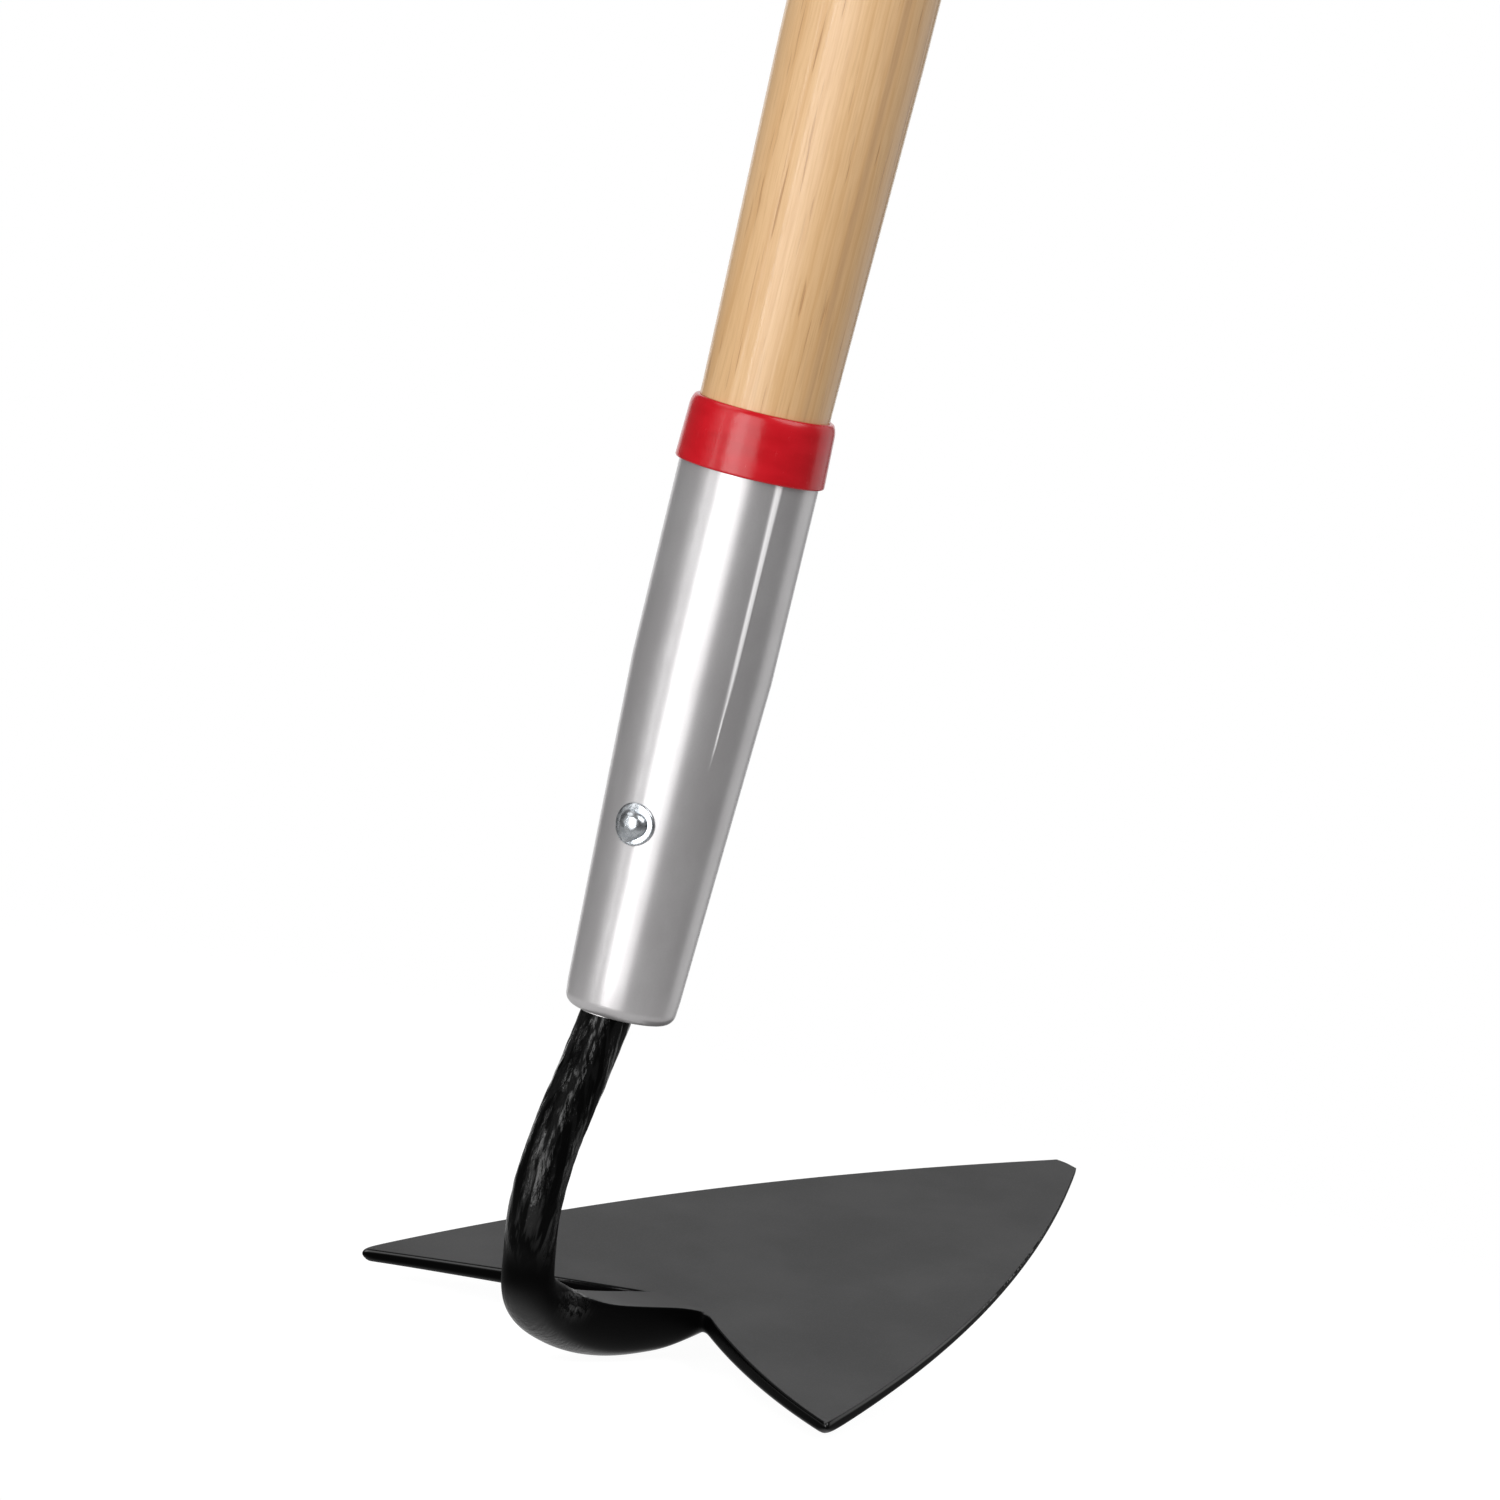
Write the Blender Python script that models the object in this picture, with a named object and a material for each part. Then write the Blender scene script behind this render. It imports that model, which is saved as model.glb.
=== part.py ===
"""Long-handled hoe with a pointed, heart-shaped blade, as six separate pieces.

Metres, +Z up along the handle. The origin is the centre of the handle's flat butt end,
so the tool hangs below it. +X points the way the blade points, and Y runs across it.

Every piece is drawn in the ferrule's own frame, whose origin is the middle of the
ferrule's lower face, and is parented to an empty that stands there.
"""

from math import cos, hypot, pi, radians, sin, sqrt

import bmesh
import bpy
from mathutils import Matrix, Vector

MM = 0.001
GAP = 0.3 * MM                      # air between two pieces that touch on the real tool
ROUND_SIDES = 36                    # facets round the turned pieces

# Handle: 54 in long, 1-1/4 in thick, slimming to 1-1/8 in above the ferrule
HANDLE_LENGTH = 1372 * MM
HANDLE_SEAT = 3 * MM                # the wood stops this far above the ferrule's lower face
HANDLE_RADIUS = 15.9 * MM
HANDLE_NECK_RADIUS = 14.1 * MM      # where the wood leaves the collar
HANDLE_TAPER_TOP = 222 * MM
HANDLE_END_ROUND = 9 * MM           # radius of the rounded butt

# Ferrule: a drawn steel socket, 5 in long
FERRULE_LENGTH = 127 * MM
FERRULE_WALL = 1.2 * MM
FERRULE_FLOOR = 1.5 * MM            # thickness of the foot round the neck
FERRULE_RADIUS = 15.1 * MM
FERRULE_FOOT_RADIUS = 12.0 * MM
FERRULE_TAPER_TOP = 76 * MM
FERRULE_FOOT_ROUND = 2.8 * MM

# Collar: a plastic ring over the ferrule's open end
COLLAR_BOTTOM = 118.8 * MM
COLLAR_TOP = 132.8 * MM
COLLAR_RADIUS = 16.15 * MM
COLLAR_DRAFT = 0.35 * MM            # the skirt slims by this much towards its shoulder
COLLAR_SHOULDER = 3.6 * MM
COLLAR_LIP = 0.5 * MM

# Blade: a heart, 5 in wide and 7-1/8 in long, with a notch where the web enters
BLADE_TILT = radians(11.8)          # the blade rises towards its point
BLADE_REAR_X = 18.2 * MM            # the line through the two ear tips
BLADE_REAR_Z = -71.4 * MM
BLADE_LENGTH = 181.6 * MM
BLADE_SIDE_RADIUS = 538 * MM        # both long sides are arcs of this radius
EAR_X, EAR_Y = -0.1 * MM, 63.9 * MM     # corner of an ear before it is rounded
EAR_EASE = (1.0 * MM, 2.2 * MM)     # the corner is drawn in by this much, above and below
POINT_X, POINT_Y = 181.0 * MM, 2.8 * MM
POINT_ROUND = 0.4 * MM              # how far the blunt point bulges forward
NOTCH_X = 32.3 * MM
REAR_BOW = 1.2 * MM                 # the rear edges bulge backwards by this much
WEB_HALF_WIDTH = 6.9 * MM
WEB_DEPTH = 9.3 * MM                # at the notch
RIDGE_LENGTH = 40 * MM              # the web fades out under the blade in this length
THICK_AT_REAR = 5.4 * MM
THIN_FORWARD = 0.0168               # thickness lost per length towards the point
THIN_OUTWARD = 0.036                # and per length towards the sides
EDGE_AT_EAR = 3.3 * MM
EDGE_AT_POINT = 1.0 * MM

# Blade mesh: lines that run forward, as fractions of the half-width, and rows across
BLADE_LINES = (0, 0.058, 0.106, 0.121, 0.19, 0.36, 0.59, 0.80, 0.925, 0.972, 1)
WEB_LINES = 3                       # lines on each side that the web's width takes in
BEVEL_LINE = 8                      # the underside's ground bevel starts at this line
BLADE_ROWS = (0, 0.014, 0.06, 0.15, 0.28, 0.43, 0.59, 0.75, 0.88, 0.965, 0.993, 1)

# Bar: x and z of its centre, half-width, half-depth, how flat its top is and how keeled below
BAR_KEYS = (
    (42.0, -69.4, 6.2, 5.3, 1.0, 1.0),      # web behind the notch
    (27.0, -69.9, 5.8, 6.2, 1.0, 1.0),
    (13.0, -69.1, 5.8, 6.3, 1.0, 0.8),      # the web rounds off into the bar
    (1.5, -66.2, 5.8, 6.5, 0.8, 0.3),
    (-8.1, -61.8, 5.8, 6.6, 0.0, 0.0),      # the bend
    (-11.2, -54.0, 5.7, 5.7, 0.0, 0.0),
    (-13.8, -42.0, 5.7, 5.7, 0.0, 0.0),
    (-12.4, -28.0, 5.7, 5.7, 0.0, 0.0),
    (-7.9, -13.0, 5.7, 5.7, 0.0, 0.0),
    (-4.3, 0.0, 5.7, 5.7, 0.0, 0.0),        # the neck passes the ferrule's lower face
    (-1.0, 13.0, 5.6, 5.6, 0.0, 0.0),
    (0.0, 28.0, 5.4, 5.4, 0.0, 0.0),        # the tang
    (0.0, 58.0, 4.9, 4.9, 0.0, 0.0),
    (0.0, 84.0, 3.6, 3.6, 0.0, 0.0),
    (0.0, 95.0, 2.2, 2.2, 0.0, 0.0),
)
WEB_CREASE = 0.8                    # how crisp the corners of the flat top are
TANG_FIRST_KEY = 8                  # the handle is bored from this key upwards
BORE_CLEARANCE = 0.6 * MM
NECK_CLEARANCE = 0.5 * MM
RING_SIDES = 4 * WEB_LINES + 4      # points round the bar: the web's lines and two sides

# Rivet: 3/16 in steel, set across the ferrule a little off the blade's plane
RIVET_HEIGHT = 42 * MM
RIVET_TURN = radians(187.5)         # direction of the peened end, round the handle
RIVET_RADIUS = 2.38 * MM
RIVET_DOME_RADIUS = 3.25 * MM
RIVET_DOME_HEIGHT = 2.3 * MM
RIVET_HEAD_RADIUS = 4.7 * MM
RIVET_HEAD_HEIGHT = 2.0 * MM
BURR_RADIUS = 4.6 * MM
BURR_THICKNESS = 1.0 * MM


def clear_scene():
    for obj in list(bpy.data.objects):
        bpy.data.objects.remove(obj, do_unlink=True)


def material(name, colour, roughness, metallic=0.0):
    mat = bpy.data.materials.new(name)
    mat.use_nodes = True
    shader = mat.node_tree.nodes["Principled BSDF"]
    shader.inputs["Base Color"].default_value = (*colour, 1.0)
    shader.inputs["Roughness"].default_value = roughness
    shader.inputs["Metallic"].default_value = metallic
    return mat


def new_object(name, bm, mat, parent, smooth_angle=radians(35)):
    """Turn a bmesh into a named object on the parent empty, shaded smooth."""
    bmesh.ops.recalc_face_normals(bm, faces=bm.faces)
    mesh = bpy.data.meshes.new(name)
    bm.to_mesh(mesh)
    bm.free()
    mesh.shade_smooth()
    mesh.set_sharp_from_angle(angle=smooth_angle)
    obj = bpy.data.objects.new(name, mesh)
    bpy.context.collection.objects.link(obj)
    obj.parent = parent
    if mat:
        mesh.materials.append(mat)
    return obj


def turned(profile, sides=ROUND_SIDES):
    """Spin a closed loop of (radius, height) points round Z; points on the axis merge."""
    bm = bmesh.new()
    verts = [bm.verts.new((radius, 0, height)) for radius, height in profile]
    edges = [bm.edges.new(pair) for pair in zip(verts, verts[1:] + verts[:1])]
    if profile[0][0] == 0 and profile[-1][0] == 0:
        bm.edges.remove(edges.pop())
    bmesh.ops.spin(bm, geom=verts + edges, cent=(0, 0, 0), axis=(0, 0, 1),
                   angle=2 * pi, steps=sides, use_merge=True)
    bmesh.ops.remove_doubles(bm, verts=bm.verts, dist=0.001 * MM)
    return bm


def arc(centre, radius, start, stop, steps):
    """Points on an arc in the (radius, height) plane; angles from the +radius axis."""
    turns = [start + (stop - start) * i / steps for i in range(steps + 1)]
    return [(centre[0] + radius * cos(a), centre[1] + radius * sin(a)) for a in turns]


def cut(obj, cutter):
    """Subtract a cutter, which is hidden from the build and from renders."""
    cutter.hide_render = True
    cutter.display_type = "WIRE"
    boolean = obj.modifiers.new("cut " + cutter.name, "BOOLEAN")
    boolean.operation = "DIFFERENCE"
    boolean.solver = "EXACT"
    boolean.object = cutter


def cylinder_cutter(name, radius, length, matrix, parent):
    bm = bmesh.new()
    bmesh.ops.create_cone(bm, cap_ends=True, segments=24, radius1=radius,
                          radius2=radius, depth=length, matrix=matrix)
    return new_object(name, bm, None, parent)


def rivet_matrix():
    """Local Z along the rivet, towards its peened end."""
    towards = Vector((cos(RIVET_TURN), sin(RIVET_TURN), 0))
    turn = towards.to_track_quat("Z", "Y").to_matrix().to_4x4()
    return Matrix.Translation((0, 0, RIVET_HEIGHT)) @ turn


def ferrule_radius(height):
    """Outer radius of the ferrule: a straight taper, then a cylinder."""
    if height >= FERRULE_TAPER_TOP:
        return FERRULE_RADIUS
    grow = (FERRULE_RADIUS - FERRULE_FOOT_RADIUS) / FERRULE_TAPER_TOP
    return FERRULE_FOOT_RADIUS + grow * height


# Bar and blade

def spline_point(p0, p1, p2, p3, t):
    """Catmull-Rom curve through p1 and p2."""
    return (p1 * 2 + (p2 - p0) * t + (p0 * 2 - p1 * 5 + p2 * 4 - p3) * t * t
            + (p1 * 3 - p0 - p2 * 3 + p3) * t ** 3) * 0.5


def bar_stations(first_key=0):
    """The bar's keys with one station between each pair, all six values splined."""
    keys = [tuple(v * MM for v in key[:4]) + key[4:] for key in BAR_KEYS[first_key:]]
    stations = []
    for i in range(len(keys) - 1):
        around = [keys[max(i - 1, 0)], keys[i], keys[i + 1], keys[min(i + 2, len(keys) - 1)]]
        stations.append(keys[i])
        stations.append(tuple(spline_point(*column, 0.5) for column in zip(*around)))
    stations.append(keys[-1])
    return stations


def ring_outline(half_width, half_depth, flat, keeled):
    """Points round the bar: from the right of the top to its left, and back below.

    A round section is blended with one that has a flat top and a keel below.
    """
    spread = (1.0, 0.87, 0.46)
    keel = (0.58, 0.80, 0.97)
    points = []
    for i in range(RING_SIDES):
        turn = pi - (i + 1) * 2 * pi / RING_SIDES
        y, h = cos(turn), sin(turn)
        side = -1 if y < 0 else 1
        if i <= 2 * WEB_LINES:
            rank = min(i, 2 * WEB_LINES - i)
            flat_y = side * spread[rank] if rank < WEB_LINES else 0.0
            flat_h = 1.0
        elif i in (2 * WEB_LINES + 1, RING_SIDES - 1):
            flat_y, flat_h = side * 1.0, 0.1
        else:
            rank = min(i - 2 * WEB_LINES - 2, RING_SIDES - 2 - i)
            flat_y = side * spread[rank] * 0.93 if rank < WEB_LINES else 0.0
            flat_h = -keel[rank] if rank < WEB_LINES else -1.0
        share = flat if i <= 2 * WEB_LINES else keeled
        points.append(((y + (flat_y - y) * share) * half_width,
                       (h + (flat_h - h) * share) * half_depth))
    return points


def bar_rings(bm, stations, grow=0.0):
    """One ring of vertices for each station, square to the bar's own direction."""
    rings = []
    for i, (x, z, half_width, half_depth, flat, keeled) in enumerate(stations):
        before = stations[max(i - 1, 0)]
        after = stations[min(i + 1, len(stations) - 1)]
        run, rise = after[0] - before[0], after[1] - before[1]
        length = hypot(run, rise)
        up = Vector((rise / length, 0, -run / length))
        outline = ring_outline(half_width + grow, half_depth + grow, flat, keeled)
        rings.append([bm.verts.new(Vector((x, y, z)) + up * h) for y, h in outline])
    return rings


def bridge(bm, ring_a, ring_b):
    for i, vert in enumerate(ring_a):
        j = (i + 1) % len(ring_a)
        bm.faces.new((vert, ring_a[j], ring_b[j], ring_b[i]))


def blade_place(x, y, height=0.0):
    """A point given along, across and above the blade's flat upper face."""
    return Vector((BLADE_REAR_X + x * cos(BLADE_TILT) - height * sin(BLADE_TILT), y,
                   BLADE_REAR_Z + x * sin(BLADE_TILT) + height * cos(BLADE_TILT)))


def side_centre():
    """Centre of the left side's arc, which runs from the ear's corner to the point."""
    chord_x, chord_y = POINT_X - EAR_X, POINT_Y - EAR_Y
    chord = hypot(chord_x, chord_y)
    away = sqrt(BLADE_SIDE_RADIUS ** 2 - chord ** 2 / 4)
    return ((EAR_X + POINT_X) / 2 + away * chord_y / chord,
            (EAR_Y + POINT_Y) / 2 - away * chord_x / chord)


def half_width_at(x):
    centre_x, centre_y = side_centre()
    return centre_y + sqrt(BLADE_SIDE_RADIUS ** 2 - (x - centre_x) ** 2)


def rear_edge_x(y):
    """The rear edge runs from the notch's corner to the ear's, bowed backwards."""
    share = max((y - WEB_HALF_WIDTH) / (EAR_Y - WEB_HALF_WIDTH), 0.0)
    bow = 4 * REAR_BOW * share * (1 - share)
    return NOTCH_X + (EAR_X - NOTCH_X) * share - bow


def blade_xy(line, row, ease=0.0):
    """Where a line and a row of the blade's mesh cross; negative lines are on the right."""
    across = BLADE_LINES[abs(line)]
    start = NOTCH_X
    if abs(line) > WEB_LINES:
        for _ in range(4):
            start = rear_edge_x(across * half_width_at(start))
    end = POINT_X + POINT_ROUND * (1 - across ** 2)
    x = start + (end - start) * BLADE_ROWS[row]
    y = across * half_width_at(min(x, POINT_X))
    if across == 1 and row == 0:
        x, y = x + ease, y - ease
    return x, (y if line > 0 else -y)


def blade_depth(line, row):
    """How far the underside lies below the upper face at a line and a row."""
    x, y = blade_xy(line, row)
    outer = len(BLADE_LINES) - 1
    thick = THICK_AT_REAR - THIN_FORWARD * x - THIN_OUTWARD * abs(y)
    if abs(line) > BEVEL_LINE:
        span = BLADE_LINES[outer] - BLADE_LINES[BEVEL_LINE]
        share = (BLADE_LINES[abs(line)] - BLADE_LINES[BEVEL_LINE]) / span
        edge = EDGE_AT_EAR + (EDGE_AT_POINT - EDGE_AT_EAR) * max(x, 0) / BLADE_LENGTH
        thick += (edge - thick) * share
    if abs(line) <= WEB_LINES:
        fade = max(1 - (x - NOTCH_X) / RIDGE_LENGTH, 0.0)
        arch = 1 - (BLADE_LINES[abs(line)] / BLADE_LINES[WEB_LINES]) ** 2
        thick += (WEB_DEPTH - THICK_AT_REAR) * fade ** 1.5 * arch
    return thick


def blade_and_web_ring(bm):
    """The blade's faces, open at the notch. Returns the ring that the web grows from."""
    outer, last = len(BLADE_LINES) - 1, len(BLADE_ROWS) - 1
    lines = range(-outer, outer + 1)
    top, bottom = {}, {}
    for line in lines:
        for row in range(last + 1):
            top[line, row] = bm.verts.new(blade_place(*blade_xy(line, row, EAR_EASE[0])))
            below = blade_xy(line, row, EAR_EASE[1])
            bottom[line, row] = bm.verts.new(blade_place(*below, -blade_depth(line, row)))
    for sheet in (top, bottom):
        for line in range(-outer, outer):
            for row in range(last):
                bm.faces.new((sheet[line, row], sheet[line + 1, row],
                              sheet[line + 1, row + 1], sheet[line, row + 1]))

    rim = [(line, 0) for line in range(WEB_LINES, outer)]
    rim += [(outer, row) for row in range(last)]
    rim += [(line, last) for line in range(outer, -outer, -1)]
    rim += [(-outer, row) for row in range(last, 0, -1)]
    rim += [(line, 0) for line in range(-outer, -WEB_LINES + 1)]
    middle = {spot: bm.verts.new((top[spot].co + bottom[spot].co) / 2) for spot in rim}
    for a, b in zip(rim, rim[1:]):
        bm.faces.new((top[a], top[b], middle[b], middle[a]))
        bm.faces.new((middle[a], middle[b], bottom[b], bottom[a]))

    web = range(-WEB_LINES, WEB_LINES + 1)
    ring = [top[line, 0] for line in web] + [middle[WEB_LINES, 0]]
    return ring + [bottom[line, 0] for line in reversed(web)] + [middle[-WEB_LINES, 0]]


def build_head(mat, parent):
    """The forging: blade, web, neck and tang as one skin, smoothed once."""
    bm = bmesh.new()
    stations = bar_stations()
    rings = [blade_and_web_ring(bm)] + bar_rings(bm, stations)
    crease = bm.edges.layers.float.new("crease_edge")
    for ring_a, ring_b, station in zip(rings, rings[1:], stations):
        bridge(bm, ring_a, ring_b)
        for corner in (0, 2 * WEB_LINES):
            bm.edges.get((ring_a[corner], ring_b[corner]))[crease] = WEB_CREASE * station[4]
    bm.faces.new(rings[-1])
    head = new_object("hoe_head", bm, mat, parent, radians(60))
    smooth = head.modifiers.new("smooth", "SUBSURF")
    smooth.levels = 1
    smooth.render_levels = 1
    return head


def tang_cutter(parent):
    """The tang with clearance all round, running out below the handle's end."""
    bm = bmesh.new()
    rings = bar_rings(bm, bar_stations(TANG_FIRST_KEY), BORE_CLEARANCE)
    for ring_a, ring_b in zip(rings, rings[1:]):
        bridge(bm, ring_a, ring_b)
    bm.faces.new(rings[0])
    bm.faces.new(rings[-1])
    return new_object("tang_cutter", bm, None, parent)


# Turned pieces

def build_handle(mat, parent):
    """Ash handle: domed butt, long straight part, taper, and the end in the ferrule."""
    inside = FERRULE_WALL + GAP
    end = HANDLE_SEAT + HANDLE_LENGTH
    taper = HANDLE_RADIUS - HANDLE_NECK_RADIUS
    profile = [
        (0, HANDLE_SEAT),
        (FERRULE_FOOT_RADIUS - inside - 1.6 * MM, HANDLE_SEAT),
        (ferrule_radius(6 * MM) - inside, 6 * MM),
        (FERRULE_RADIUS - inside, FERRULE_TAPER_TOP),
        (FERRULE_RADIUS - inside, FERRULE_LENGTH + GAP),
        (HANDLE_NECK_RADIUS, FERRULE_LENGTH + 1.2 * MM),
        (HANDLE_NECK_RADIUS, COLLAR_TOP),
        (HANDLE_NECK_RADIUS + 0.86 * taper, HANDLE_TAPER_TOP - 12 * MM),
        (HANDLE_NECK_RADIUS + 0.97 * taper, HANDLE_TAPER_TOP + 8 * MM),
        (HANDLE_RADIUS, HANDLE_TAPER_TOP + 35 * MM),
    ]
    butt = (HANDLE_RADIUS - HANDLE_END_ROUND, end - HANDLE_END_ROUND)
    profile += arc(butt, HANDLE_END_ROUND, 0, pi / 2, 5)
    profile.append((0, end))
    return new_object("handle", turned(profile), mat, parent)


def build_ferrule(mat, parent):
    """Steel socket: rounded foot, taper, straight mouth, and the hollow inside."""
    foot_arc = (FERRULE_FOOT_RADIUS - FERRULE_FOOT_ROUND, FERRULE_FOOT_ROUND)
    inner_round = FERRULE_FOOT_ROUND - FERRULE_WALL
    inner_arc = (foot_arc[0], FERRULE_FLOOR + inner_round)
    profile = [(0, 0)]
    profile += arc(foot_arc, FERRULE_FOOT_ROUND, -pi / 2, 0, 5)
    profile.append((FERRULE_RADIUS, FERRULE_TAPER_TOP))
    profile.append((FERRULE_RADIUS, FERRULE_LENGTH))
    profile.append((FERRULE_RADIUS - FERRULE_WALL, FERRULE_LENGTH))
    profile.append((FERRULE_RADIUS - FERRULE_WALL, FERRULE_TAPER_TOP))
    profile += arc(inner_arc, inner_round, 0, -pi / 2, 3)
    profile.append((0, FERRULE_FLOOR))
    return new_object("ferrule", turned(profile), mat, parent)


def neck_cutter(parent):
    """The ferrule's hole for the neck, along the neck's own lean."""
    below, above = BAR_KEYS[8], BAR_KEYS[10]
    lean = Vector(((above[0] - below[0]) * MM, 0, (above[1] - below[1]) * MM))
    turn = lean.to_track_quat("Z", "Y").to_matrix().to_4x4()
    centre = Vector((BAR_KEYS[9][0] * MM, 0, BAR_KEYS[9][1] * MM))
    radius = BAR_KEYS[9][2] * MM + NECK_CLEARANCE
    place = Matrix.Translation(centre) @ turn
    return cylinder_cutter("neck_cutter", radius, 9 * MM, place, parent)


def build_collar(mat, parent):
    """Plastic ring: skirt over the ferrule, shoulder, and a lip against the wood."""
    skirt = FERRULE_RADIUS + GAP
    lip = HANDLE_NECK_RADIUS + GAP
    step = FERRULE_LENGTH + GAP
    ease = 0.5 * MM
    shoulder = (lip + COLLAR_LIP, COLLAR_TOP - COLLAR_SHOULDER)
    reach = COLLAR_RADIUS - COLLAR_DRAFT - shoulder[0]
    turns = [pi / 2 * i / 5 for i in range(6)]
    profile = [(skirt, COLLAR_BOTTOM), (COLLAR_RADIUS - ease, COLLAR_BOTTOM),
               (COLLAR_RADIUS, COLLAR_BOTTOM + ease)]
    profile += [(shoulder[0] + reach * cos(a), shoulder[1] + COLLAR_SHOULDER * sin(a))
                for a in turns]
    profile += [(lip, COLLAR_TOP), (lip, step), (skirt, step)]
    return new_object("ferrule_collar", turned(profile), mat, parent)


def build_rivet(mat, parent):
    """Factory head, shank through everything, and the peened dome over the burr."""
    seat = ferrule_radius(RIVET_HEIGHT) + GAP
    dome_seat = seat + BURR_THICKNESS + GAP
    turns = [pi / 2 * i / 5 for i in range(6)]
    profile = [(0, -seat - RIVET_HEAD_HEIGHT)]
    profile += [(RIVET_HEAD_RADIUS * sin(a), -seat - RIVET_HEAD_HEIGHT * cos(a))
                for a in turns[1:]]
    profile += [(RIVET_RADIUS, -seat), (RIVET_RADIUS, dome_seat)]
    profile += [(RIVET_DOME_RADIUS * cos(a), dome_seat + RIVET_DOME_HEIGHT * sin(a))
                for a in turns[:-1]]
    profile.append((0, dome_seat + RIVET_DOME_HEIGHT))
    rivet = new_object("rivet", turned(profile, 24), mat, parent)
    rivet.matrix_local = rivet_matrix()
    return rivet


def build_burr(mat, parent):
    """Washer under the peened end, with its outer edge eased."""
    seat = ferrule_radius(RIVET_HEIGHT) + GAP
    hole = RIVET_RADIUS + GAP
    ease = 0.35 * MM
    profile = [(hole, seat), (BURR_RADIUS, seat),
               (BURR_RADIUS, seat + BURR_THICKNESS - ease),
               (BURR_RADIUS - ease, seat + BURR_THICKNESS), (hole, seat + BURR_THICKNESS)]
    burr = new_object("rivet_burr", turned(profile, 24), mat, parent)
    burr.matrix_local = rivet_matrix()
    return burr


def main():
    clear_scene()
    foot = bpy.data.objects.new("ferrule_foot", None)
    foot.location = (0, 0, -(HANDLE_LENGTH + HANDLE_SEAT))
    bpy.context.collection.objects.link(foot)

    ash = material("ash wood", (0.66, 0.41, 0.22), 0.35)
    steel = material("satin steel", (0.55, 0.54, 0.54), 0.3, 1.0)
    plastic = material("red plastic", (0.52, 0.017, 0.026), 0.3)
    black = material("black enamel", (0.02, 0.02, 0.02), 0.35)
    zinc = material("zinc plated steel", (0.6, 0.62, 0.64), 0.25, 1.0)

    handle = build_handle(ash, foot)
    ferrule = build_ferrule(steel, foot)
    build_collar(plastic, foot)
    head = build_head(black, foot)
    build_rivet(zinc, foot)
    build_burr(zinc, foot)

    rivet_cutter = cylinder_cutter("rivet_cutter", RIVET_RADIUS + GAP, 60 * MM,
                                   rivet_matrix(), foot)
    cut(handle, tang_cutter(foot))
    cut(ferrule, neck_cutter(foot))
    for piece in (handle, ferrule, head):
        cut(piece, rivet_cutter)


main()
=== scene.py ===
# Looks of the pointed hoe: a refined piece for every CAD node, with procedural materials,
# a pale floor, soft light and a camera.
#
# Metres, +Z up along the handle. Every piece is drawn in the ferrule's own frame, whose
# origin is the middle of the ferrule's lower face, and stands at FOOT in the row frame.

from math import atan2, cos, exp, hypot, pi, radians, sin, sqrt

import bmesh
import bpy
from mathutils import Matrix, Vector, noise


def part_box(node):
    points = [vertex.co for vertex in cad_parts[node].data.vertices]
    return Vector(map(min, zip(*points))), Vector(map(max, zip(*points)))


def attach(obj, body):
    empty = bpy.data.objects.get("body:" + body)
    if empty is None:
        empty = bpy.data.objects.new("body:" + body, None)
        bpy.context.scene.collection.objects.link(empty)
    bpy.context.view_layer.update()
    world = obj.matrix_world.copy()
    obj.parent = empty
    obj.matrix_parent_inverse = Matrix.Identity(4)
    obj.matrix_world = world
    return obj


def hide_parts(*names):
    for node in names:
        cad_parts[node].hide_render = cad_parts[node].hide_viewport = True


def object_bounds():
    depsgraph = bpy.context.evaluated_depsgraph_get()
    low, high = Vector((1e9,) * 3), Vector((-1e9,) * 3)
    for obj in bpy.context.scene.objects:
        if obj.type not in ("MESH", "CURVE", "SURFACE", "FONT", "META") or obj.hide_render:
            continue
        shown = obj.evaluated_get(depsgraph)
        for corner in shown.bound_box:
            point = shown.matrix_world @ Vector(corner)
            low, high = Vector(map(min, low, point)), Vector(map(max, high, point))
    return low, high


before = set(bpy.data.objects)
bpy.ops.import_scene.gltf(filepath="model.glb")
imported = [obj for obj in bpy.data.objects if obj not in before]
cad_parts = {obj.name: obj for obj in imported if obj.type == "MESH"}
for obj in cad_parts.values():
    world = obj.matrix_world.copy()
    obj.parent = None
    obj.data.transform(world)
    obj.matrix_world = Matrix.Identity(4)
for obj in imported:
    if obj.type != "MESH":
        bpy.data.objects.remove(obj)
cad_low, cad_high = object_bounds()

MM = 0.001
FOOT = Vector((0, 0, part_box("ferrule")[0].z))
HANDLE_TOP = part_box("handle")[1].z - FOOT.z
HANDLE_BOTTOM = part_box("handle")[0].z - FOOT.z
HANDLE_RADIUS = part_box("handle")[1].x
FERRULE_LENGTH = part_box("ferrule")[1].z - FOOT.z
FERRULE_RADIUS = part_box("ferrule")[1].x
COLLAR_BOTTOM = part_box("ferrule_collar")[0].z - FOOT.z
COLLAR_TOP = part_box("ferrule_collar")[1].z - FOOT.z
COLLAR_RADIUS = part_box("ferrule_collar")[1].x

SIDES = 128                         # facets round the turned pieces
HAIR = 0.05 * MM                    # air left between pieces that are pressed together

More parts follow.
